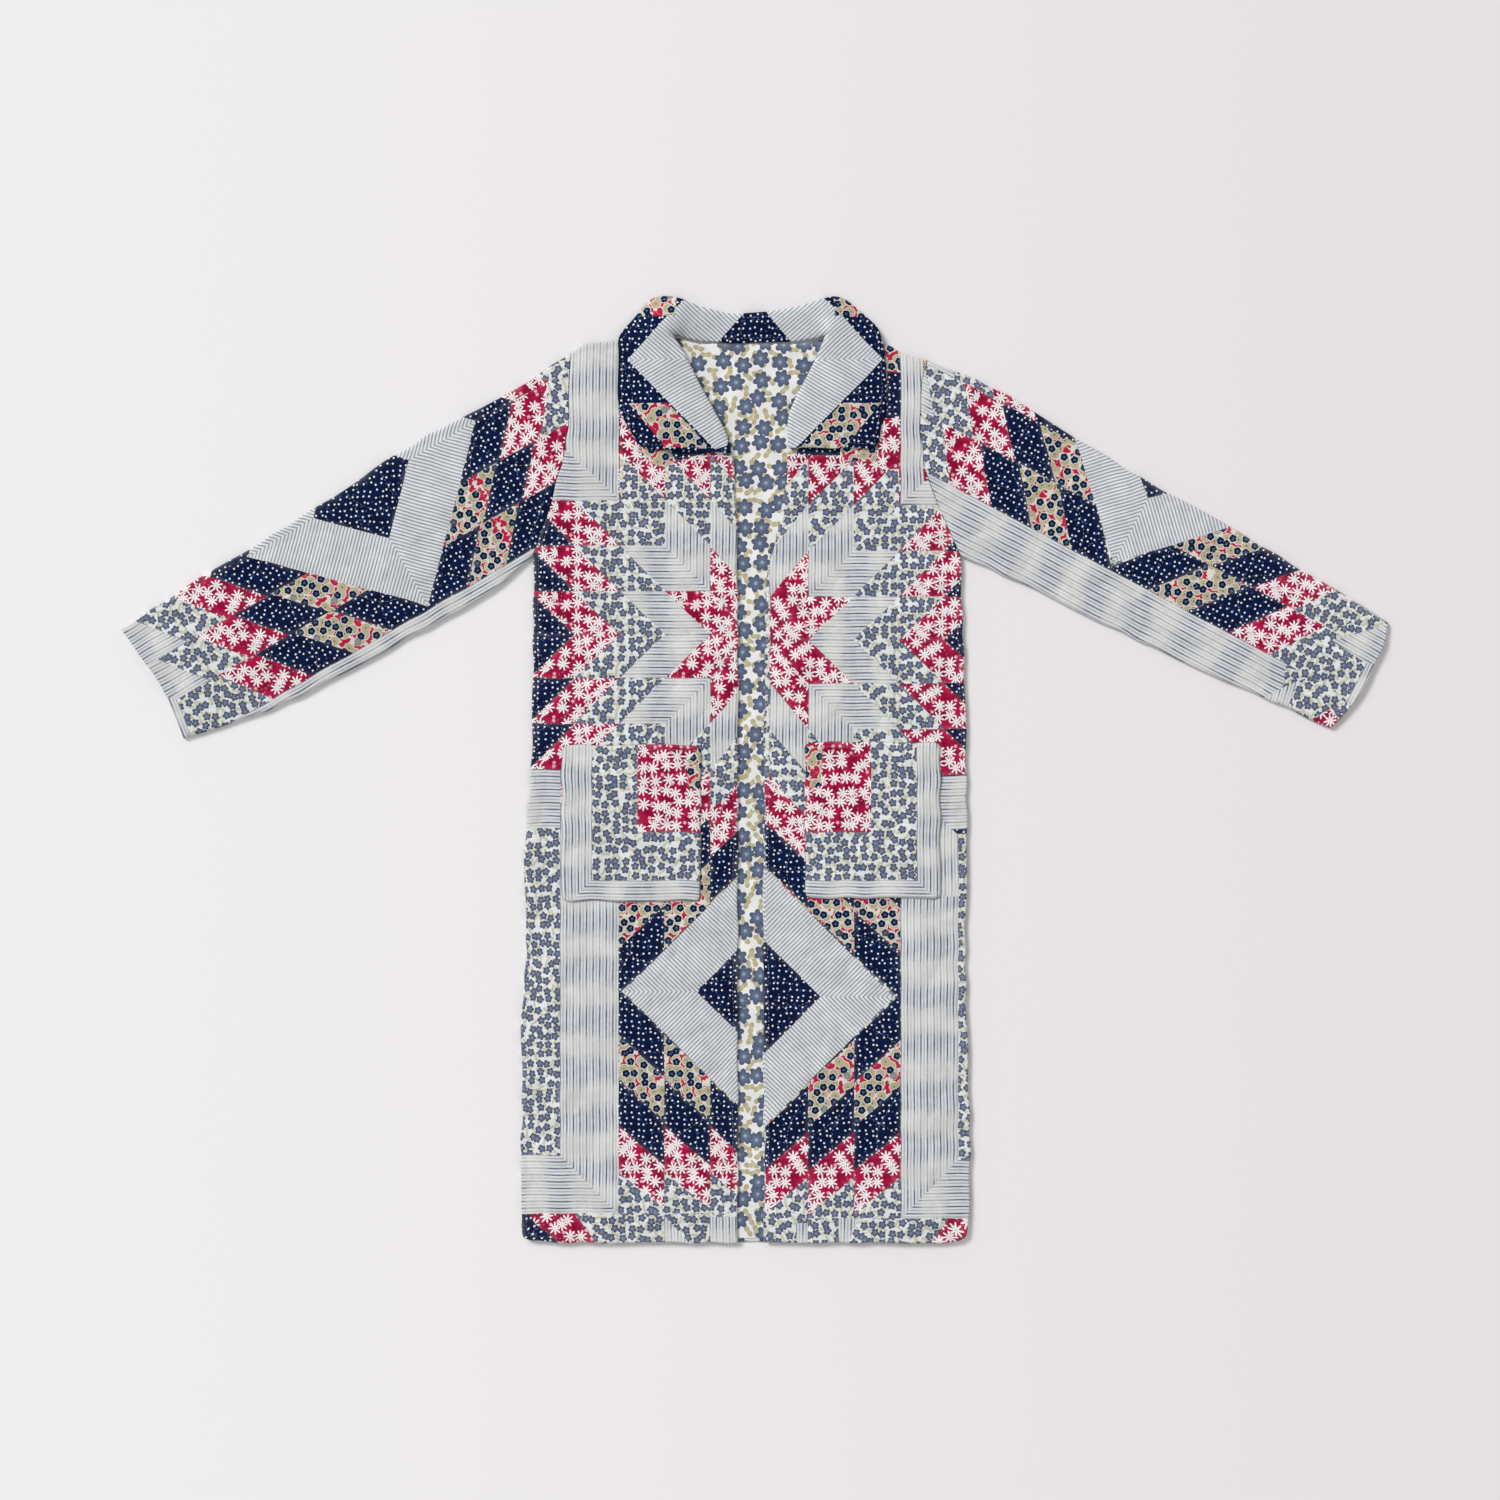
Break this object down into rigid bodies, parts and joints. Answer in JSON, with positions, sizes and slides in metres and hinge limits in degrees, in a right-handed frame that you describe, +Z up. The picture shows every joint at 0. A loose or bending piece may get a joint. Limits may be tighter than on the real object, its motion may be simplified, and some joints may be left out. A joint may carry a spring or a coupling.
{
  "type": "duster coat",
  "caption": "Long quilted patchwork coat with a turned collar, long sleeves, patch pockets and an open front, laid flat face up.",
  "frame": {"origin": "middle of the coat's box in plan, on the surface that it lies on", "axes": "+X across the coat to the wearer's left, along the sleeves' spread; +Y from the hem to the collar; +Z up, away from the surface, out of the coat's front"},
  "size_m": [1.5204, 1.1351, 0.0199],
  "materials": {
    "body_patchwork": "matt quilted cotton, patchwork of navy, crimson, grey-blue and off-white prints",
    "sleeve_patchwork": "matt quilted cotton, patchwork of navy, striped, floral and crimson prints",
    "collar_patchwork": "matt quilted cotton, striped diamonds on navy with small dots",
    "pocket_patchwork": "matt quilted cotton, floral field with a crimson block and a striped border",
    "lining_cloth": "plain-weave cotton printed with slate-blue flowers and khaki leaves on off-white"
  },
  "bodies": {
    "root": {"back": "body_patchwork", "back_lining": "lining_cloth", "front_right": "body_patchwork", "front_left": "body_patchwork", "pocket_right": "pocket_patchwork", "pocket_left": "pocket_patchwork", "sleeve_right": "sleeve_patchwork", "sleeve_left": "sleeve_patchwork", "collar": "collar_patchwork"}
  },
  "joints": []
}
